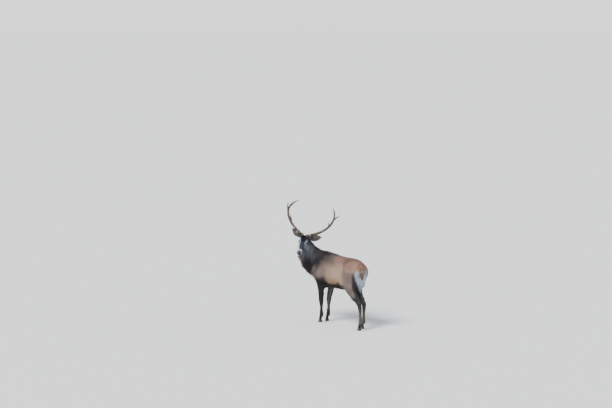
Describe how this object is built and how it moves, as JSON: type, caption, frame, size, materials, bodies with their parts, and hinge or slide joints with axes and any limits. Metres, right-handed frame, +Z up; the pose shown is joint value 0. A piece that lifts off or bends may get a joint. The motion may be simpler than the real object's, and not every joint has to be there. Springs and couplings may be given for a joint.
{
  "type": "red deer stag",
  "caption": "Life-size still red deer stag standing square on its hooves, head turned back over its left shoulder, with branched antlers and a thick dark neck mane.",
  "frame": {"origin": "on the ground, under the middle of the whole figure's box", "axes": "+Z up; the chest faces -Y; the stag's left side is +X"},
  "size_m": [0.7976, 1.7676, 2.1312],
  "materials": {
    "body_fur": "short warm brown coat, greyer below, pale rump patch",
    "mane_fur": "long shaggy dark grey-brown mane",
    "face_fur": "very short grey-brown fur, near black on forehead and bridge",
    "ear_fur": "short fur with dark rim and pale hair inside",
    "tail_fur": "short orange-brown fur with a dark line",
    "leg_fur": "short sleek dark brown fur",
    "eye": "wet and glossy, dark brown",
    "antler": "hard pearled bone, stained brown",
    "antler_tip": "polished ivory bone",
    "hoof": "satin black-brown horn with growth rings"
  },
  "bodies": {
    "root": {"trunk": "body_fur", "tail": "tail_fur", "neck": "mane_fur", "eye_left": "eye", "ear_left": "ear_fur", "eye_right": "eye", "ear_right": "ear_fur", "head": "face_fur", "antler_left_beam_lower": "antler", "antler_left_beam_upper": "antler", "antler_left_brow_tine": "antler_tip", "antler_left_bez_tine": "antler_tip", "antler_left_trez_tine": "antler_tip", "antler_left_spur_tine": "antler_tip", "antler_left_inner_tine": "antler_tip", "antler_left_outer_tine": "antler_tip", "antler_right_beam_lower": "antler", "antler_right_beam_upper": "antler", "antler_right_brow_tine": "antler_tip", "antler_right_bez_tine": "antler_tip", "antler_right_trez_tine": "antler_tip", "antler_right_inner_tine": "antler_tip", "antler_right_outer_tine": "antler_tip", "antler_right_middle_tine": "antler_tip", "foreleg_left_upper": "leg_fur", "hoof_fore_left_outer": "hoof", "dewclaw_fore_left_outer": "hoof", "hoof_fore_left_inner": "hoof", "dewclaw_fore_left_inner": "hoof", "foreleg_left_lower": "leg_fur", "foreleg_right_upper": "leg_fur", "hoof_fore_right_outer": "hoof", "dewclaw_fore_right_outer": "hoof", "hoof_fore_right_inner": "hoof", "dewclaw_fore_right_inner": "hoof", "foreleg_right_lower": "leg_fur", "hindleg_left_upper": "leg_fur", "hoof_hind_left_outer": "hoof", "dewclaw_hind_left_outer": "hoof", "hoof_hind_left_inner": "hoof", "dewclaw_hind_left_inner": "hoof", "hindleg_left_lower": "leg_fur", "hindleg_right_upper": "leg_fur", "hoof_hind_right_outer": "hoof", "dewclaw_hind_right_outer": "hoof", "hoof_hind_right_inner": "hoof", "dewclaw_hind_right_inner": "hoof", "hindleg_right_lower": "leg_fur"}
  },
  "joints": []
}
